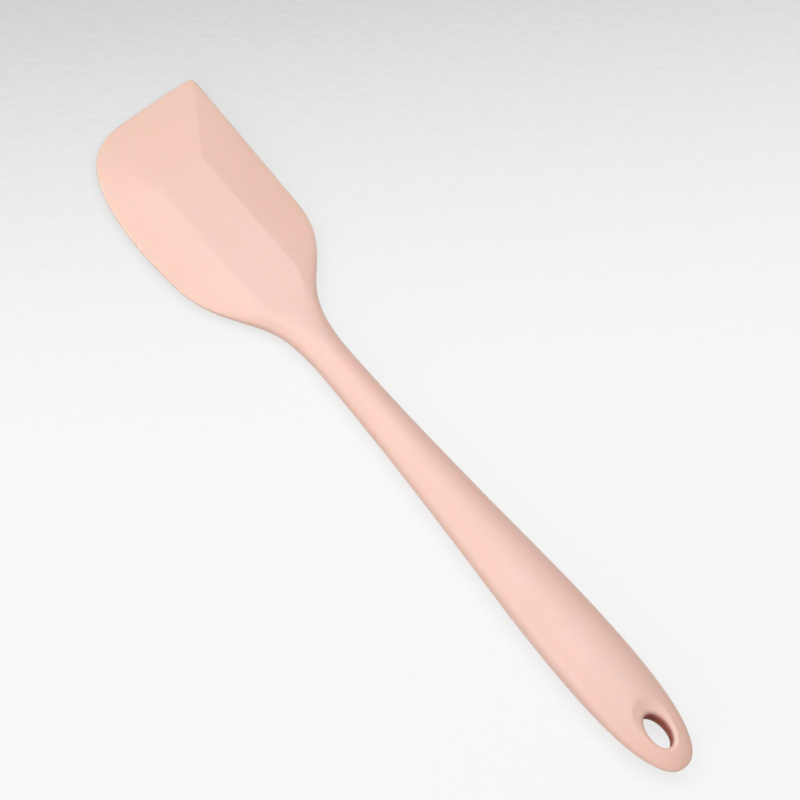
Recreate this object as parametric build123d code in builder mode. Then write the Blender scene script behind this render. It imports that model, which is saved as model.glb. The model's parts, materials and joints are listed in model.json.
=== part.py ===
from build123d import *
import os
from math import atan2, cos, degrees, radians, sin, tan

# A one-piece silicone spatula, lying on its back as on a worktop. The blade points along +X, with
# its rounded corner on the +Y side and its square corner on the -Y side. Sizes are in millimetres.
overall_length = 280.0

# Blade: a flat plateau in the middle, and bevels down to a thin edge on three sides
blade_length = 56.0
blade_thickness = 7.0
blade_edge_thickness = 1.2
straight_reach = 28.6
straight_shoulder_reach = 27.7
curved_reach = 26.9
curved_shoulder_reach = 25.7
end_slant = 1.6
round_corner_length = 35.0
round_corner_depth = 19.0
square_corner_radius = 1.2
plateau_straight_reach = 10.6
plateau_curved_reach = 8.6
plateau_setback = 25.2
plateau_corner_radius = 1.0

# Neck, grip and the rounded end of the handle
shoulder_length = 48.0
neck_width = 13.24
neck_thickness = 9.7
grip_width = 25.84
grip_thickness = 14.0
grip_setback = 45.0

# Hanging hole, with a shallow recess round it on the front and on the back
hole_length = 14.2
hole_width = 7.9
hole_setback = 15.0
hole_web_thickness = 7.5
recess_slope_angle = 27.1

# Flat steel strip inside, which the silicone is moulded around
core_thickness = 2.0
core_tongue_width = 14.0
core_neck_width = 6.5
core_tang_width = 11.0
core_tongue_length = 32.0
core_neck_length = 70.0
core_tongue_setback = 36.0
core_hole_gap = 8.0
core_corner_radius = 1.0
key_hole_diameter = 4.0
key_hole_setback = 8.0
tongue_key_holes = 2
tang_key_holes = 5

# Sections of the shoulders, evenly spaced from the blade to the neck: what is left on each side of
# the way from the neck's reach to the blade's, and how far they have come from the blade's
# thickness to the neck's, from blunt noses to rounded ones, and from facets to an oval
straight_reach_shares = (1, 0.976, 0.903, 0.77, 0.58, 0.365, 0.196, 0.095, 0.035, 0.006, 0)
curved_reach_shares = (1, 0.942, 0.848, 0.714, 0.549, 0.363, 0.206, 0.088, 0.033, 0.006, 0)
crown_shares = (0, 0, 0, 0, 0.03, 0.12, 0.3, 0.54, 0.78, 0.94, 1)
nose_shares = (0, 0.5, 1, 1, 1, 1, 1, 1, 1, 1, 1)
oval_shares = (0, 0, 0, 0, 0.05, 0.2, 0.45, 0.7, 0.9, 1, 1)
crease_share = 0.58
nose_limit_share = 0.9

# Sections of the handle: how far they have swollen from the neck to the grip, and the angles and
# the powers of the oval curves that close the handle's end in plan and in side view
swell_shares = (0, 0.073, 0.23, 0.44, 0.676, 0.903, 1)
end_angles = (15, 30, 45, 60, 75, 86)
end_width_power = 2.35
end_thickness_power = 1.6

# Angles up from the widest points of an oval section at which its edges meet
oval_crease_angle = 60
oval_nose_angle = 25

# Places along the utensil, counted from its middle, and half sizes
tip_x = overall_length / 2
end_x = -overall_length / 2
plateau_end_x = tip_x - plateau_setback
shoulder_x = tip_x - blade_length
neck_x = shoulder_x - shoulder_length
grip_x = end_x + grip_setback
hole_x = end_x + hole_setback
round_corner_x = tip_x - round_corner_length
round_corner_y = curved_reach - round_corner_depth
square_corner_x = tip_x - (straight_reach + round_corner_y) * tan(radians(end_slant))
blade_half = blade_thickness / 2
edge_half = blade_edge_thickness / 2
web_half = hole_web_thickness / 2
recess_flare = (grip_thickness / 2 - web_half) / tan(radians(recess_slope_angle))


def between(first, last, share):
    return first + (last - first) * share


def pull(sweep):
    """Length of a Bezier handle for an arc of this many degrees, as a share of its radius."""
    return tan(radians(sweep) / 4) * 4 / 3


def quarter(reach, crease, crown, rim, nose_share, oval_share):
    """Six points of a quarter section, from its top round to its side: the crease and the start
    of the nose, each between the ends of its two Bezier handles."""
    slope = (crown - rim) / (reach - crease)
    nose = min(rim / (1 - slope), (reach - crease) * nose_limit_share) * nose_share
    corner = Vector(crease, crown)
    start = Vector(reach - nose, rim + nose * slope)
    bevel = (start - corner) / 3
    rounded = Vector(nose, -nose * slope) * 4 / 3
    blunt = Vector(0, -start.Y) * 2 / 3
    faceted = [
        Vector(crease / 3, crown),
        corner,
        corner + bevel,
        start - bevel,
        start,
        start + rounded + blunt * (1 - nose_share),
    ]
    oval = []
    bevel_sweep = oval_crease_angle - oval_nose_angle
    for angle, sweep_above, sweep_below in (
        (oval_crease_angle, 180 - 2 * oval_crease_angle, bevel_sweep),
        (oval_nose_angle, bevel_sweep, 2 * oval_nose_angle),
    ):
        point = Vector(reach * cos(radians(angle)), crown * sin(radians(angle)))
        tangent = Vector(-reach * sin(radians(angle)), crown * cos(radians(angle)))
        oval += [point + tangent * pull(sweep_above), point, point - tangent * pull(sweep_below)]
    return [between(flat, bent, oval_share) for flat, bent in zip(faceted, oval)]


def shoulder_quarter(blade_reach, plateau_reach, reach_share, number):
    """A quarter of one of the shoulders' sections. Its bevel carries on the blade's facet."""
    reach = between(neck_width / 2, blade_reach, reach_share)
    facet_slope = (blade_half - edge_half) / (blade_reach - plateau_reach)
    return quarter(
        reach,
        min(plateau_reach, reach * crease_share),
        between(blade_half, neck_thickness / 2, crown_shares[number]),
        edge_half + (blade_reach - reach) * facet_slope,
        nose_shares[number],
        oval_shares[number],
    )


def section(plane, straight, curved):
    """The face of a section, from the quarters of its two sides, with eight Bezier edges."""
    top_a = [Vector(-point.X, point.Y) for point in straight]
    low_a = [Vector(-point.X, -point.Y) for point in straight]
    top_b = [Vector(point.X, point.Y) for point in curved]
    low_b = [Vector(point.X, -point.Y) for point in curved]
    edges = [
        Edge.make_bezier(top_a[1], top_a[0], top_b[0], top_b[1]),
        Edge.make_bezier(*top_b[1:5]),
        Edge.make_bezier(top_b[4], top_b[5], low_b[5], low_b[4]),
        Edge.make_bezier(*reversed(low_b[1:5])),
        Edge.make_bezier(low_b[1], low_b[0], low_a[0], low_a[1]),
        Edge.make_bezier(*low_a[1:5]),
        Edge.make_bezier(low_a[4], low_a[5], top_a[5], top_a[4]),
        Edge.make_bezier(*reversed(top_a[1:5])),
    ]
    return plane.location * Face(Wire(edges))


# Places, half widths and half thicknesses of the handle's oval sections
ovals = []
for number, share in enumerate(swell_shares):
    place = between(neck_x, grip_x, number / (len(swell_shares) - 1))
    half_width = between(neck_width, grip_width, share) / 2
    half_thickness = between(neck_thickness, grip_thickness, share) / 2
    ovals.append((place, half_width, half_thickness))
for angle in end_angles:
    way = sin(radians(angle))
    width_share = (1 - way**end_width_power) ** (1 / end_width_power)
    thickness_share = (1 - way**end_thickness_power) ** (1 / end_thickness_power)
    place = between(grip_x, end_x, way)
    ovals.append((place, grip_width / 2 * width_share, grip_thickness / 2 * thickness_share))

# The spatula rests on the far edge of the plateau and on the underside of the grip, so its middle
# plane leans a little, along the steepest line from that edge that touches the handle
rest_lean = max(
    atan2(half_thickness - blade_half, plateau_end_x - place)
    for place, half_width, half_thickness in ovals
)
rest_height = plateau_end_x * sin(rest_lean) + blade_half * cos(rest_lean)
middle = Plane.XY.offset(rest_height).rotated((0, degrees(rest_lean), 0))
across = Plane(middle.origin, x_dir=middle.y_dir, z_dir=middle.x_dir)

# Sections of the shoulders and of the handle. They are made outside the part, because a sketch
# would join the edges that run smoothly into each other.
shoulder_sections = []
for number, shares in enumerate(zip(straight_reach_shares, curved_reach_shares)):
    place = between(shoulder_x, neck_x, number / (len(crown_shares) - 1))
    straight = shoulder_quarter(straight_shoulder_reach, plateau_straight_reach, shares[0], number)
    curved = shoulder_quarter(curved_shoulder_reach, plateau_curved_reach, shares[1], number)
    shoulder_sections.append(section(across.offset(place), straight, curved))
handle_sections = []
for place, half_width, half_thickness in ovals:
    side = quarter(half_width, half_width * crease_share, half_thickness, edge_half, 1, 1)
    handle_sections.append(section(across.offset(place), side, side))

# Steel core: a punched strip with a tongue in the blade, a narrow neck and a wider tang in the
# handle. The silicone flows through its key holes and locks on to it.
tongue_end_x = tip_x - core_tongue_setback
tongue_x = tongue_end_x - core_tongue_length
tang_x = tongue_x - core_neck_length
tang_end_x = hole_x + hole_length / 2 + core_hole_gap
with BuildPart() as steel_core:
    with BuildSketch(middle) as strip:
        with BuildLine():
            upper_edge = Polyline(
                (tongue_end_x, 0),
                (tongue_end_x, core_tongue_width / 2),
                (tongue_x, core_tongue_width / 2),
                (tongue_x, core_neck_width / 2),
                (tang_x, core_neck_width / 2),
                (tang_x, core_tang_width / 2),
                (tang_end_x, core_tang_width / 2),
                (tang_end_x, 0),
            )
            mirror(upper_edge, about=Plane.XZ)
        make_face()
        fillet(strip.vertices(), core_corner_radius)
    extrude(amount=core_thickness / 2, both=True)
    for start_x, stop_x, count in (
        (tongue_end_x - key_hole_setback, tongue_x + key_hole_setback, tongue_key_holes),
        (tang_end_x + key_hole_setback, tang_x - key_hole_setback, tang_key_holes),
    ):
        with BuildSketch(middle):
            for number in range(count):
                with Locations((between(start_x, stop_x, number / (count - 1)), 0)):
                    Circle(key_hole_diameter / 2)
        extrude(amount=core_thickness, both=True, mode=Mode.SUBTRACT)
steel_core.part.label = "steel_core"

# Silicone body: blade, neck and handle in one moulding over the core
with BuildPart() as silicone_body:
    # The blade's edge band, in the outline of the blade
    with BuildSketch(middle) as outline:
        with BuildLine():
            end_edge = Line((tip_x, round_corner_y), (square_corner_x, -straight_reach))
            straight_edge = Line(end_edge @ 1, (shoulder_x, -straight_shoulder_reach))
            Line(straight_edge @ 1, (shoulder_x, curved_shoulder_reach))
            TangentArc(
                (round_corner_x, curved_reach), (shoulder_x, curved_shoulder_reach), tangent=(-1, 0)
            )
            EllipticalCenterArc(
                (round_corner_x, round_corner_y),
                round_corner_length,
                round_corner_depth,
                arc_size=90,
            )
        make_face()
        square_corner = outline.vertices().sort_by_distance((square_corner_x, -straight_reach))[0]
        fillet(square_corner, square_corner_radius)
    extrude(amount=edge_half, both=True)
    # The bevels rise from the edge band to the plateau, on the front and on the back
    for side in (1, -1):
        with BuildSketch(middle.offset(side * edge_half)):
            add(outline.sketch_local)
        with BuildSketch(middle.offset(side * blade_half)) as plateau:
            with BuildLine():
                Polyline(
                    (shoulder_x, -plateau_straight_reach),
                    (plateau_end_x, -plateau_straight_reach),
                    (plateau_end_x, plateau_curved_reach),
                    (shoulder_x, plateau_curved_reach),
                    close=True,
                )
            make_face()
            fillet(plateau.vertices().group_by(Axis.X)[-1], plateau_corner_radius)
        loft(ruled=True)
    # The shoulders narrow to an oval neck, which swells to the grip
    loft(shoulder_sections)
    loft(handle_sections)
    # Hanging hole, and the recesses that flare from its web to the grip's full thickness
    with BuildSketch(middle):
        with Locations((hole_x, 0)):
            Ellipse(hole_length / 2, hole_width / 2)
    extrude(amount=grip_thickness, both=True, mode=Mode.SUBTRACT)
    for side in (1, -1):
        for height, flare in ((web_half, 0), (grip_thickness / 2, recess_flare)):
            with BuildSketch(middle.offset(side * height)):
                with Locations((hole_x, 0)):
                    Ellipse(hole_length / 2 + flare, hole_width / 2 + flare)
        loft(ruled=True, mode=Mode.SUBTRACT)
    add(steel_core.part, mode=Mode.SUBTRACT)
silicone_body.part.label = "silicone_body"

os.makedirs("parts", exist_ok=True)
export_step(silicone_body.part, "parts/silicone_body.step")
export_step(steel_core.part, "parts/steel_core.step")
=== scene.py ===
import json
from math import asin, cos, radians, sin

import bmesh
import bpy
from mathutils import Matrix, Vector


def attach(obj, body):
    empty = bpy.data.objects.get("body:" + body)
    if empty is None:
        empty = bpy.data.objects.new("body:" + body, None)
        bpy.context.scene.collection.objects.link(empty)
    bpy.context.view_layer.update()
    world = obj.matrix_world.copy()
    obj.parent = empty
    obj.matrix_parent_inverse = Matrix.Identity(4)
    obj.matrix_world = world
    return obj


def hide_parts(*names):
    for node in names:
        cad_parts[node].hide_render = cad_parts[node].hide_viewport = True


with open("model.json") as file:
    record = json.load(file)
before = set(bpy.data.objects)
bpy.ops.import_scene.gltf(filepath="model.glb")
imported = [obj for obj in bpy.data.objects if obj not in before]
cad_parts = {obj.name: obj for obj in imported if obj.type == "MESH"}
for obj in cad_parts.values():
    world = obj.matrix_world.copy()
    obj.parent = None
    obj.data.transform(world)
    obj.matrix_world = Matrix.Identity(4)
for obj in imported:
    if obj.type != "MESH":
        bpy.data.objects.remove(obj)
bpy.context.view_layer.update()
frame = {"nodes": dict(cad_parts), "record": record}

# Middle plane
# The mould parts along the spatula's middle plane, so the silicone is alike above and below it. At
# rest that plane leans a little: the spatula lies on the end of its blade's flat and on its grip.
millimetre = 0.001
blade_half = 3.5
back = {mount["name"]: mount for mount in frame["record"]["mounts"]}["blade_back"]
face_up = -Vector(back["axis"])
middle_height = (Vector(back["pos_m"]).dot(face_up) + blade_half * millimetre) / face_up.z
middle = Matrix.Translation((0, 0, middle_height)) @ Matrix.Rotation(asin(face_up.x), 4, "Y")

# Silicone body
# Blade, neck and handle are one compression moulding of soft-touch silicone rubber, pressed round
# a steel strip. This piece is its whole skin, with the hanging hole's wall, in millimetres until
# it is set down: x runs to the blade, y to its rounded corner and z up from the middle plane.

# Half thickness (crown) and half width (reach) of the neck and of the grip at its widest
neck_crown = 4.85
neck_reach = 6.45
grip_crown = 6.94
grip_reach = 12.8
grip_place = -95.0

# The handle's end closes in an oval curve in plan and in side view. A power of 2 is an ellipse,
# and a higher one is squarer. The grip's section is an oval too.
handle_end = -139.75
end_power = 2.5
end_crown_power = 1.6
grip_power = 2.25

# The blade's flat plateau and its width where the shoulders begin, on the straight side and on the
# curved one, and how the straight rim widens towards the end
blade_start = 84.0
plateau_straight = 10.8
plateau_curved = 8.6
shoulder_straight = 27.55
shoulder_curved = 25.57
straight_rim_slope = -0.0175

# The top passes into the sides at this share of the half width. Subdivision draws a round section
# in a little, so it starts larger by the rounding.
crease_share = 0.55
rounding = 1.008

# The thin edge's half thickness, and how much of the bevel's slope the rim keeps as the shoulders
# draw in. Its blunt nose is this long for each millimetre of the thin edge, and for each further
# millimetre of the rim, up to a limit as a share of the bevel, and turns over at the nose's share.
edge_half = 0.6
shoulder_rise = 0.62
nose_length = 1.2
nose_growth = 2.2
nose_limit = 0.9
nose_turn = 0.62
# Where the steps down an oval section's side stand, as shares of the way out
oval_steps = (0.4, 0.74, 0.95, 1)

# Handle, from the grip to the neck: place and half width
handle_rows = (
    (-110, 12.4), (-103, 12.68), (-95, 12.8), (-82, 12.57), (-69, 11.97), (-56, 11.1), (-41, 9.98),
    (-26, 9.0), (-11, 8.09), (4, 7.31), (19, 6.76), (34, 6.46),
)
# Shoulders: place, half widths of the straight and the curved side, half thickness, and how far
# the section has gone from flat facets to an oval
shoulder_rows = (
    (38.5, 6.52, 6.56, 4.81, 1.0), (42, 6.86, 6.88, 4.72, 0.97), (45.5, 7.37, 7.27, 4.56, 0.9),
    (49, 8.2, 7.92, 4.32, 0.77), (52.5, 9.5, 9.05, 4.09, 0.59), (56, 11.25, 10.85, 3.86, 0.41),
    (59.5, 14.05, 13.0, 3.68, 0.22), (63, 17.5, 15.65, 3.58, 0.11), (66.5, 20.8, 18.1, 3.53, 0.03),
    (70, 23.5, 20.4, 3.5, 0), (73.5, 25.4, 22.35, 3.5, 0), (77, 26.65, 23.83, 3.5, 0),
    (80.5, 27.3, 24.87, 3.5, 0), (84, 27.55, 25.57, 3.5, 0),
)
# Blade: the plateau's border and the rim that each of its points bevels down to
straight_border = ((88, 91), (94, 100), (101, 111), (106.5, 120.5), (111, 129.5), (114, 136.6))
end_border = (
    ((114.8, -plateau_straight), (138.8, -28.2)), ((114.8, -9.8), (139.32, -26.25)),
    ((114.8, -6.5), (139.6, -18.6)), ((114.8, -2.5), (139.9, -7.5)), ((114.8, 1), (140.1, 2.6)),
)
round_border = (
    ((114.8, 3.7), (139.7, 7.9)), ((114.7, 5.8), (138.3, 12.9)), ((114.3, 7.3), (135.6, 17.2)),
    ((113.5, 8.1), (131.35, 20.5)), ((112.3, 8.5), (125.8, 23.12)), ((110, 8.6), (119.2, 24.95)),
    ((106, 8.6), (112.2, 26.1)), ((101, 8.6), (105, 26.65)), ((94, 8.6), (97, 26.6)),
    ((88, 8.6), (90, 26.15)),
)
# Handle's end: half widths of the outline at each point of the border, from the middle of the end
# round to its corner, and place and reach of the crease beside the hole with the outline's place
end_outline = (0, 1.9, 3.7, 5.4)
end_rows = (
    (-131.3, 6.9, -135.3), (-128.3, 7.7, -130.5), (-125, 8.2, -126), (-121.5, 8.5, -121.8),
    (-117.3, 8.6, -117.4),
)
# Hanging hole: an oval through the end, with a rounded lip and a shallow recess round it. The
# recess and its smooth surround reach this far out from the wall, less at the end than at the grip.
hole_place = -125.25
hole_length_reach = 6.45
hole_width_reach = 3.9
hole_points = 20
lip_radius = 1.45
recess_slope = 0.24
recess_reach = (1, 5.7)
hole_border_reach = (2.3, 7.2)
surround_power = 2.4


def between(first, last, share):
    """What lies this share of the way from the first to the last."""
    return first + (last - first) * share


def end_reach(place):
    """Half width of the handle's rounded end, an oval curve a little squarer than an ellipse."""
    way = min(max((grip_place - place) / (grip_place - handle_end), 0), 1)
    return grip_reach * (1 - way**end_power) ** (1 / end_power)


def end_crown(place):
    """Half thickness of the handle's rounded end, which thins more gently than it narrows."""
    way = min(max((grip_place - place) / (grip_place - handle_end), 0), 1)
    return grip_crown * (1 - way**end_crown_power) ** (1 / end_crown_power)


def end_place(reach):
    """Where along the handle's rounded end its half width is this."""
    way = (1 - (reach / grip_reach) ** end_power) ** (1 / end_power)
    return between(grip_place, handle_end, way)


def oval_height(point, reach, crown):
    """Height of an oval section above this point, flatter on top at the grip than at the neck."""
    power = between(2, grip_power, (reach - neck_reach) / (grip_reach - neck_reach))
    if point.x < grip_place:
        reach = end_reach(point.x)
        crown = end_crown(point.x)
    across = min(abs(point.y) / (reach * rounding), 1)
    return crown * rounding * (1 - across**power) ** (1 / power)


class Border:
    """A point of the border between the top and the sides, and the way down from it to the rim."""

    def __init__(self, inside, outline, crown, rim=edge_half, reach=grip_reach, roundness=1):
        self.inside = Vector((*inside, 0))
        self.outline = Vector((*outline, 0))
        self.crown = crown
        self.rim = rim
        self.reach = reach
        self.roundness = roundness
        self.set_height(self.inside, crown)

    def set_height(self, point, facet):
        point.z = facet
        if self.roundness > 0:
            point.z = between(facet, oval_height(point, self.reach, self.crown), self.roundness)

    def step(self, number):
        """The point on the bevel, the two of the rounded rim and the one at the middle plane."""
        run = (self.outline - self.inside).xy.length
        nose = edge_half * nose_length + (self.rim - edge_half) * nose_growth
        nose = min(nose, run * nose_limit) / run
        bevel_end = between(self.crown, self.rim, 1 - nose)
        facet_share = ((1 - nose) / 2, 1 - nose, 1, 1)[number]
        facet = ((self.crown + bevel_end) / 2, bevel_end, bevel_end * nose_turn, 0)[number]
        share = between(facet_share, oval_steps[number], self.roundness)
        point = between(self.inside.xy, self.outline.xy, share).to_3d()
        if number < 3:
            self.set_height(point, facet)
        return point


def hole_surround(number, at_end, at_grip):
    """A distance out from the hole's wall that grows from the handle's end to the grip."""
    facing_grip = (1 + cos(radians(360 / hole_points * number))) / 2
    return between(at_end, at_grip, facing_grip**surround_power)


def hole_point(number, growth, drop=0):
    """A point round the hole, this far out from its wall and this far below the recess."""
    angle = radians(360 / hole_points * number)
    along = (hole_length_reach + growth) * cos(angle)
    point = Vector((hole_place + along, (hole_width_reach + growth) * sin(angle), 0))
    depth = max(0, hole_surround(number, *recess_reach) - growth) * recess_slope
    point.z = oval_height(point, grip_reach, grip_crown) - depth - drop
    return point


def blade_point(inside, outline):
    """A border point of the plateau, with flat bevels."""
    return Border(inside, outline, blade_half, roundness=0)


# Every row's border points on the straight and on the curved side, from the handle's end
straight_side = []
curved_side = []
for place, reach, outline_place in end_rows:
    for side, border in ((-1, straight_side), (1, curved_side)):
        outline = (outline_place, side * end_reach(outline_place) * rounding)
        border.append(Border((place, side * reach), outline, grip_crown))
for place, reach in handle_rows:
    crown = between(neck_crown, grip_crown, (reach - neck_reach) / (grip_reach - neck_reach))
    for side, border in ((-1, straight_side), (1, curved_side)):
        ends = (place, side * reach * crease_share), (place, side * reach * rounding)
        border.append(Border(*ends, crown, reach=reach))
for place, straight, curved, crown, roundness in shoulder_rows:
    for side, reach, blade_reach, plateau, border in (
        (-1, straight, shoulder_straight, plateau_straight, straight_side),
        (1, curved, shoulder_curved, plateau_curved, curved_side),
    ):
        inside_reach = min(plateau, reach * crease_share)
        ends = (place, side * inside_reach), (place, side * reach)
        facet_slope = (blade_half - edge_half) / (blade_reach - plateau)
        rim = edge_half + (blade_reach - reach) * facet_slope * shoulder_rise
        border.append(Border(*ends, crown, rim, reach, roundness))
for place, rim_place in straight_border:
    rim = (rim_place, -shoulder_straight + (rim_place - blade_start) * straight_rim_slope)
    straight_side.append(blade_point((place, -plateau_straight), rim))
straight_side.append(blade_point(*end_border[0]))
for ends in reversed(round_border[3:]):
    curved_side.append(blade_point(*ends))
blade_end = [straight_side[-1]]
blade_end += [blade_point(*ends) for ends in end_border[1:] + round_border[:3]]
blade_end.append(curved_side[-1])
half_way = hole_points // 2
handle_end_border = [straight_side[0]]
for column in range(-3, 4):
    number = half_way - column
    inside = hole_point(number, hole_surround(number, *hole_border_reach)).xy
    reach = end_outline[abs(column)]
    outline = (end_place(reach), reach if column > 0 else -reach)
    handle_end_border.append(Border(inside, outline, grip_crown))
handle_end_border.append(curved_side[0])

# Top sheet: a grid between the two borders
row_count = len(straight_side) - 1
column_count = len(blade_end) - 1
blade_columns = (0, 0.042, 0.21, 0.42, 0.6, 0.75, 0.86, 0.94, 1)
skin = bmesh.new()
bmesh.ops.create_grid(skin, x_segments=row_count, y_segments=column_count, size=1)
crease = skin.edges.layers.float.new("crease_edge")
hollow = skin.verts.layers.float.new("hollow")
# Thinness says how far a point lies below its top. The material uses it to paint thin parts warmer, as
# painted light through the rubber.
thinness = skin.verts.layers.float.new("thinness")
sheet = {}
for vert in skin.verts:
    row = round((vert.co.x + 1) / 2 * row_count)
    column = round((vert.co.y + 1) / 2 * column_count)
    sheet[row, column] = vert
for (row, column), vert in sheet.items():
    straight = straight_side[row]
    curved = curved_side[row]
    roundness = straight.roundness
    share = between(blade_columns[column], column / column_count, roundness)
    place = between(straight.inside, curved.inside, share)
    nearer = curved if place.y > 0 else straight
    nearer.set_height(place, straight.crown)
    vert.co = place
    vert[thinness] = 1 - min(vert.co.z / nearer.crown, 1)
for ends, row in ((handle_end_border, 0), (blade_end, row_count)):
    for column, end in enumerate(ends):
        sheet[row, column].co = end.inside
for row in range(row_count + 1):
    sheet[row, 0].co = straight_side[row].inside
    sheet[row, column_count].co = curved_side[row].inside

# Sides: the sheet's border, drawn out and down to the middle plane in four steps
around = [((0, column), handle_end_border[column]) for column in range(column_count + 1)]
around += [((row, column_count), curved_side[row]) for row in range(1, row_count + 1)]
around += [((row_count, column), blade_end[column]) for column in range(column_count - 1, -1, -1)]
around += [((row, 0), straight_side[row]) for row in range(row_count - 1, 0, -1)]
loop = [sheet[key] for key, border in around]
borders = [border for key, border in around]


def draw_out(loop):
    """Extrudes a closed loop of vertices, and gives the new loop in the same order."""
    edges = [skin.edges.get((vert, loop[number - 1])) for number, vert in enumerate(loop)]
    made = bmesh.ops.extrude_edge_only(skin, edges=edges)["geom"]
    fresh = {part for part in made if isinstance(part, bmesh.types.BMVert)}
    drawn = []
    for vert in loop:
        rung = next(edge for edge in vert.link_edges if edge.other_vert(vert) in fresh)
        drawn.append(rung.other_vert(vert))
    return drawn


loops = [loop]
for number in range(4):
    loop = draw_out(loop)
    loops.append(loop)
    for vert, border in zip(loop, borders):
        vert.co = border.step(number)
        vert[thinness] = 1 - vert.co.z / border.crown

# Ridges round the plateau, softened by the moulding. They come up over this length of the
# shoulders, and fade out towards the rounded corner and along the end.
ridge = 0.32
ridge_start = 56
ridge_fade = 12
corner_start = 112
corner_fade = 6
end_ridge_columns = 5
for row in range(row_count):
    fade = min(max((straight_side[row].inside.x - ridge_start) / ridge_fade, 0), 1)
    round_off = min(max((corner_start - curved_side[row].inside.x) / corner_fade, 0), 1)
    skin.edges.get((sheet[row, 0], sheet[row + 1, 0]))[crease] = ridge * fade
    edge = skin.edges.get((sheet[row, column_count], sheet[row + 1, column_count]))
    edge[crease] = ridge * fade * round_off
for column in range(end_ridge_columns):
    skin.edges.get((sheet[row_count, column], sheet[row_count, column + 1]))[crease] = ridge
square_corner = around.index(((row_count, 0), blade_end[0]))
for inner, outer in zip(loops[:2], loops[1:3]):
    skin.edges.get((inner[square_corner], outer[square_corner]))[crease] = ridge

# Hanging hole: a block of the sheet is cut out, and its border drawn in over the recess, round
# the lip and down the wall
hole_rows = 4
first, last = 1, column_count - 1
cut = {sheet[row, column] for row in range(hole_rows + 1) for column in range(first, last + 1)}
centre_column = (first + last) // 2
ring = [sheet[hole_rows, column] for column in range(centre_column, last + 1)]
ring += [sheet[row, last] for row in range(hole_rows - 1, -1, -1)]
ring += [sheet[0, column] for column in range(last - 1, first - 1, -1)]
ring += [sheet[row, first] for row in range(1, hole_rows + 1)]
ring += [sheet[hole_rows, column] for column in range(first + 1, centre_column)]
block = [face for face in skin.faces if cut.issuperset(face.verts)]
bmesh.ops.delete(skin, geom=block, context="FACES")
lip_turns = (0, 28, 56, 90, 90)
# The hollow share paints shade into the hole: it darkens and reddens the colour down the lip and wall,
# and also makes them rougher.
hollow_shares = (0, 0, 0.1, 0.75, 1)
recess_margin = 0.4
recess_crease = 0.25
# The hole's surround gets a fixed thinness, so it is painted a little warmer too.
hole_thinness = 0.3
border_step, recess_step, slope_step, lip_step, wall_step = 0, 1, 2, 3, 7
for step in range(wall_step + 1):
    if step:
        ring = draw_out(ring)
    for number, vert in enumerate(ring):
        recess_growth = max(hole_surround(number, *recess_reach), lip_radius + recess_margin)
        if step == border_step:
            vert.co = hole_point(number, hole_surround(number, *hole_border_reach))
        elif step == recess_step:
            vert.co = hole_point(number, recess_growth)
            skin.edges.get((vert, ring[number - 1]))[crease] = recess_crease
        elif step == slope_step:
            vert.co = hole_point(number, (lip_radius + recess_growth) / 2)
        else:
            turn = radians(lip_turns[step - lip_step])
            growth = lip_radius * (1 - sin(turn))
            vert.co = hole_point(number, growth, lip_radius * (1 - cos(turn)))
            vert[hollow] = hollow_shares[step - lip_step]
        vert[thinness] = hole_thinness
        if step == wall_step:
            vert.co.z = 0

# The lower half mirrors the upper one, and each meets the other at the middle plane
everything = skin.verts[:] + skin.edges[:] + skin.faces[:]
bmesh.ops.mirror(skin, geom=everything, matrix=Matrix.Identity(4), merge_dist=0.0001, axis="Z")
bmesh.ops.recalc_face_normals(skin, faces=skin.faces)
bmesh.ops.transform(
    skin, matrix=middle @ Matrix.Scale(millimetre, 4), space=Matrix.Identity(4), verts=skin.verts
)
for face in skin.faces:
    face.smooth = True
skin_mesh = bpy.data.meshes.new("moulded_silicone")
skin.to_mesh(skin_mesh)
skin.free()
moulded_silicone = bpy.data.objects.new("moulded_silicone", skin_mesh)
bpy.context.scene.collection.objects.link(moulded_silicone)
smoothing = moulded_silicone.modifiers.new("smoothing", "SUBSURF")
smoothing.levels = 3
smoothing.render_levels = 3
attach(moulded_silicone, "root")
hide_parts("silicone_body")

# The rubber is a pale peach, a little translucent. Its sides are painted warmer the lower they lie
# towards the middle plane, most at the thin edges: painted light through thin rubber. The hole's lip and
# wall are painted a deep red-brown: painted shade in the hole. A very fine matt grain keeps it from
# shining.
peach = (0.802, 0.540, 0.466)
pale_peach = (0.817, 0.558, 0.491)
painted_translucent_warmth = (0.825, 0.525, 0.42)
painted_hole_shade = (0.40, 0.08, 0.04)
dust_brown = (0.60, 0.36, 0.27)
silicone = bpy.data.materials.new("silicone")
silicone.use_nodes = True
nodes = silicone.node_tree.nodes
links = silicone.node_tree.links
shader = nodes["Principled BSDF"]
shader.inputs["IOR"].default_value = 1.5
shader.inputs["Specular IOR Level"].default_value = 0.58
shader.inputs["Subsurface Weight"].default_value = 0.55
shader.inputs["Subsurface Radius"].default_value = (1.0, 0.42, 0.28)
shader.inputs["Subsurface Scale"].default_value = 0.004
place = nodes.new("ShaderNodeTexCoord")


def grain(scale, detail):
    """A noise pattern laid through the piece."""
    pattern = nodes.new("ShaderNodeTexNoise")
    pattern.inputs["Scale"].default_value = scale
    pattern.inputs["Detail"].default_value = detail
    links.new(place.outputs["Object"], pattern.inputs["Vector"])
    return pattern.outputs["Fac"]


def remap(source, low, high, out_low, out_high):
    """A range of a pattern's values stretched onto another."""
    node = nodes.new("ShaderNodeMapRange")
    node.inputs["From Min"].default_value = low
    node.inputs["From Max"].default_value = high
    node.inputs["To Min"].default_value = out_low
    node.inputs["To Max"].default_value = out_high
    links.new(source, node.inputs["Value"])
    return node.outputs["Result"]


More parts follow.
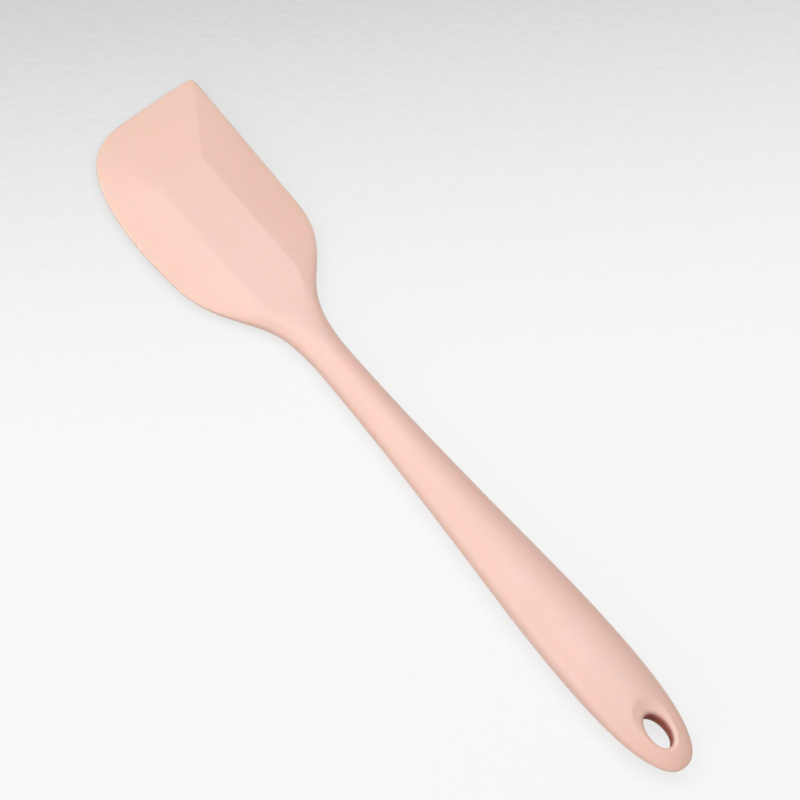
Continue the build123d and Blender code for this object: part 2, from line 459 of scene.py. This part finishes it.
def tint(share, first, second):
    """One colour passing into another by this share."""
    node = nodes.new("ShaderNodeMix")
    node.data_type = "RGBA"
    links.new(share, node.inputs["Factor"])
    for colour, socket in ((first, node.inputs[6]), (second, node.inputs[7])):
        if isinstance(colour, tuple):
            socket.default_value = (*colour, 1)
        else:
            links.new(colour, socket)
    return node.outputs[2]


def surface_share(name):
    """A share that is kept at each point of the mesh."""
    node = nodes.new("ShaderNodeAttribute")
    node.attribute_name = name
    return node.outputs["Fac"]


pigment = tint(remap(grain(22, 2), 0.35, 0.65, 0, 1), peach, pale_peach)
# Painted translucency: the thin edges and the lower sides are tinted warmer, standing in for light
# through thin rubber.
warmth_painted_on_thin_parts = tint(remap(surface_share("thinness"), 0, 1, 0, 0.6), pigment, painted_translucent_warmth)
# Painted shade in the hanging hole: the lip and wall are tinted deep red-brown as they go down into it.
hole_wall_painted_dark = tint(remap(surface_share("hollow"), 0, 1, 0, 0.95), warmth_painted_on_thin_parts, painted_hole_shade)
specks = nodes.new("ShaderNodeTexVoronoi")
specks.voronoi_dimensions = "2D"
specks.inputs["Scale"].default_value = 55
links.new(place.outputs["Object"], specks.inputs["Vector"])
few = nodes.new("ShaderNodeMath")
few.operation = "MULTIPLY"
links.new(remap(specks.outputs["Distance"], 0.012, 0.024, 0.35, 0), few.inputs[0])
links.new(remap(specks.outputs["Color"], 0.62, 0.72, 0, 1), few.inputs[1])
dust = tint(few.outputs["Value"], hole_wall_painted_dark, dust_brown)
links.new(dust, shader.inputs["Base Color"])
duller = nodes.new("ShaderNodeMath")
duller.operation = "MAXIMUM"
links.new(remap(grain(160, 3), 0.3, 0.7, 0.38, 0.46), duller.inputs[0])
links.new(remap(surface_share("hollow"), 0, 1, 0, 0.95), duller.inputs[1])
links.new(duller.outputs["Value"], shader.inputs["Roughness"])
bump = nodes.new("ShaderNodeBump")
bump.inputs["Strength"].default_value = 0.12
bump.inputs["Distance"].default_value = 0.00003
links.new(grain(2600, 2), bump.inputs["Height"])
links.new(bump.outputs["Normal"], shader.inputs["Normal"])
skin_mesh.materials.append(silicone)

# Steel core
# The strip inside is cut from cold-rolled stainless sheet. The rolling leaves fine lines along it,
# and its key holes are punched, so the rubber grips it without glue.
dark_line = (0.50, 0.51, 0.52)
pale_line = (0.60, 0.61, 0.62)
core_steel = bpy.data.materials.new("rolled_steel")
core_steel.use_nodes = True
nodes = core_steel.node_tree.nodes
links = core_steel.node_tree.links
shader = nodes["Principled BSDF"]
shader.inputs["Metallic"].default_value = 1
place = nodes.new("ShaderNodeTexCoord")
along_strip = nodes.new("ShaderNodeMapping")
along_strip.inputs["Scale"].default_value = (0.02, 1, 1)
links.new(place.outputs["Object"], along_strip.inputs["Vector"])
rolling = nodes.new("ShaderNodeTexNoise")
rolling.inputs["Scale"].default_value = 1500
rolling.inputs["Detail"].default_value = 3
links.new(along_strip.outputs["Vector"], rolling.inputs["Vector"])
links.new(tint(rolling.outputs["Fac"], dark_line, pale_line), shader.inputs["Base Color"])
links.new(remap(rolling.outputs["Fac"], 0.3, 0.7, 0.28, 0.42), shader.inputs["Roughness"])
for slot in frame["nodes"]["steel_core"].material_slots:
    slot.material = core_steel

# Floor
# A wide sheet of pale matt paper. Its own brightness is even near the camera and dims towards the back,
# where it levels off: a painted fall-off of light. What the camera sees of it is mostly its own
# brightness, which leaves the shadow faint.
floor_reach = 30
front_glow = 0.932
back_glow = 0.482
own_share = 0.8
floor_mesh = bpy.data.meshes.new("floor")
floor_shape = bmesh.new()
bmesh.ops.create_grid(floor_shape, x_segments=1, y_segments=1, size=floor_reach)
floor_shape.to_mesh(floor_mesh)
floor_shape.free()
floor = bpy.data.objects.new("floor", floor_mesh)
bpy.context.scene.collection.objects.link(floor)
paper = bpy.data.materials.new("paper")
paper.use_nodes = True
nodes = paper.node_tree.nodes
links = paper.node_tree.links
shader = nodes["Principled BSDF"]
shader.inputs["Roughness"].default_value = 0.9
place = nodes.new("ShaderNodeTexCoord")
back_to_front = nodes.new("ShaderNodeMapping")
back_to_front.inputs["Rotation"].default_value = (0, 0, radians(28))
links.new(place.outputs["Object"], back_to_front.inputs["Vector"])
apart = nodes.new("ShaderNodeSeparateXYZ")
links.new(back_to_front.outputs["Vector"], apart.inputs["Vector"])
# Painted fall-off of light: the floor's glow dims from the front to the back.
painted_light_falloff = nodes.new("ShaderNodeMath")
painted_light_falloff.operation = "POWER"
painted_light_falloff.inputs[1].default_value = 2.2
links.new(remap(apart.outputs["X"], -0.02, 0.185, 0, 1), painted_light_falloff.inputs[0])
levelling = nodes.new("ShaderNodeMath")
levelling.operation = "SMOOTH_MIN"
levelling.inputs[1].default_value = 0.88
levelling.inputs[2].default_value = 0.2
links.new(painted_light_falloff.outputs["Value"], levelling.inputs[0])
fibres = nodes.new("ShaderNodeMapping")
fibres.inputs["Scale"].default_value = (1, 0.2, 1)
links.new(back_to_front.outputs["Vector"], fibres.inputs["Vector"])
fibre = nodes.new("ShaderNodeTexNoise")
fibre.inputs["Scale"].default_value = 900
fibre.inputs["Detail"].default_value = 2
links.new(fibres.outputs["Vector"], fibre.inputs["Vector"])
texture = nodes.new("ShaderNodeMath")
texture.operation = "MULTIPLY_ADD"
links.new(remap(fibre.outputs["Fac"], 0.25, 0.75, -1, 1), texture.inputs[0])
links.new(remap(levelling.outputs["Value"], 0, 0.6, 0.008, 0.03), texture.inputs[1])
links.new(remap(levelling.outputs["Value"], 0, 1, front_glow, back_glow), texture.inputs[2])
glow = nodes.new("ShaderNodeEmission")
links.new(texture.outputs["Value"], glow.inputs["Strength"])
rays = nodes.new("ShaderNodeLightPath")
seen = rays.outputs["Is Camera Ray"]
for kind in ("Is Glossy Ray", "Is Transmission Ray"):
    either = nodes.new("ShaderNodeMath")
    either.operation = "MAXIMUM"
    links.new(seen, either.inputs[0])
    links.new(rays.outputs[kind], either.inputs[1])
    seen = either.outputs["Value"]
links.new(tint(seen, (0.42, 0.42, 0.42), (0.9, 0.9, 0.9)), shader.inputs["Base Color"])
blend = nodes.new("ShaderNodeMixShader")
links.new(remap(seen, 0, 1, 0, own_share), blend.inputs["Fac"])
links.new(shader.outputs["BSDF"], blend.inputs[1])
links.new(glow.outputs["Emission"], blend.inputs[2])
links.new(blend.outputs["Shader"], nodes["Material Output"].inputs["Surface"])
floor_mesh.materials.append(paper)

# Lamps
# One softbox hangs overhead, one beyond the blade, and one stands low on the rounded corner's
# side, all a little cool. The room is pale and a little warm, with a darker wall on the other side.
world = bpy.data.worlds.new("studio")
world.use_nodes = True
nodes = world.node_tree.nodes
links = world.node_tree.links
direction = nodes.new("ShaderNodeTexCoord")
lit_wall = nodes.new("ShaderNodeVectorMath")
lit_wall.operation = "DOT_PRODUCT"
lit_wall.inputs[1].default_value = (0, 0.5, 0.87)
links.new(direction.outputs["Generated"], lit_wall.inputs[0])
nodes["Background"].inputs["Color"].default_value = (1, 0.92, 0.83, 1)
links.new(remap(lit_wall.outputs["Value"], -0.5, 1, 0.25, 0.435), nodes["Background"].inputs["Strength"])
bpy.context.scene.world = world
for name, power, size, colour, lamp_place in (
    ("softbox_above", 5.2, 0.8, (0.97, 1, 1.03), (0.05, -0.22, 1.1)),
    ("softbox_beyond", 5.3, 0.6, (0.97, 1, 1.03), (0.6, 0.42, 1.0)),
    ("softbox_beside", 4.3, 0.7, (0.9, 1, 1.07), (0.05, 1.0, 0.44)),
):
    lamp_data = bpy.data.lights.new(name, "AREA")
    lamp_data.energy = power
    lamp_data.color = colour
    lamp_data.size = size
    softbox = bpy.data.objects.new(name, lamp_data)
    bpy.context.scene.collection.objects.link(softbox)
    softbox.location = lamp_place
    softbox.rotation_euler = (-softbox.location).to_track_quat("-Z", "Y").to_euler()

# Camera
# It looks down on the spatula, 25 degrees off the vertical on the rounded corner's side.
camera_tilt = radians(25)
camera_swing = radians(7)
camera_roll = radians(-40.94)
camera_target = Vector((0.01126, -0.00884, 0))
camera_distance = 1.5
to_camera = Vector(
    (
        -sin(camera_swing),
        sin(camera_tilt) * cos(camera_swing),
        cos(camera_tilt) * cos(camera_swing),
    )
)
blade_up = Vector((1, 0, 0)) - to_camera * to_camera.x
blade_up.normalize()
turned = Matrix((blade_up.cross(to_camera), blade_up, to_camera)).transposed().to_4x4()
camera_data = bpy.data.cameras.new("camera")
camera_data.sensor_width = 36
camera_data.lens = 206.9
camera_data.clip_end = 100
camera = bpy.data.objects.new("camera", camera_data)
bpy.context.scene.collection.objects.link(camera)
camera.matrix_world = (
    middle
    @ Matrix.Translation(camera_target + to_camera * camera_distance)
    @ turned
    @ Matrix.Rotation(camera_roll, 4, "Z")
)
bpy.context.scene.camera = camera
bpy.context.scene.view_settings.view_transform = "Standard"
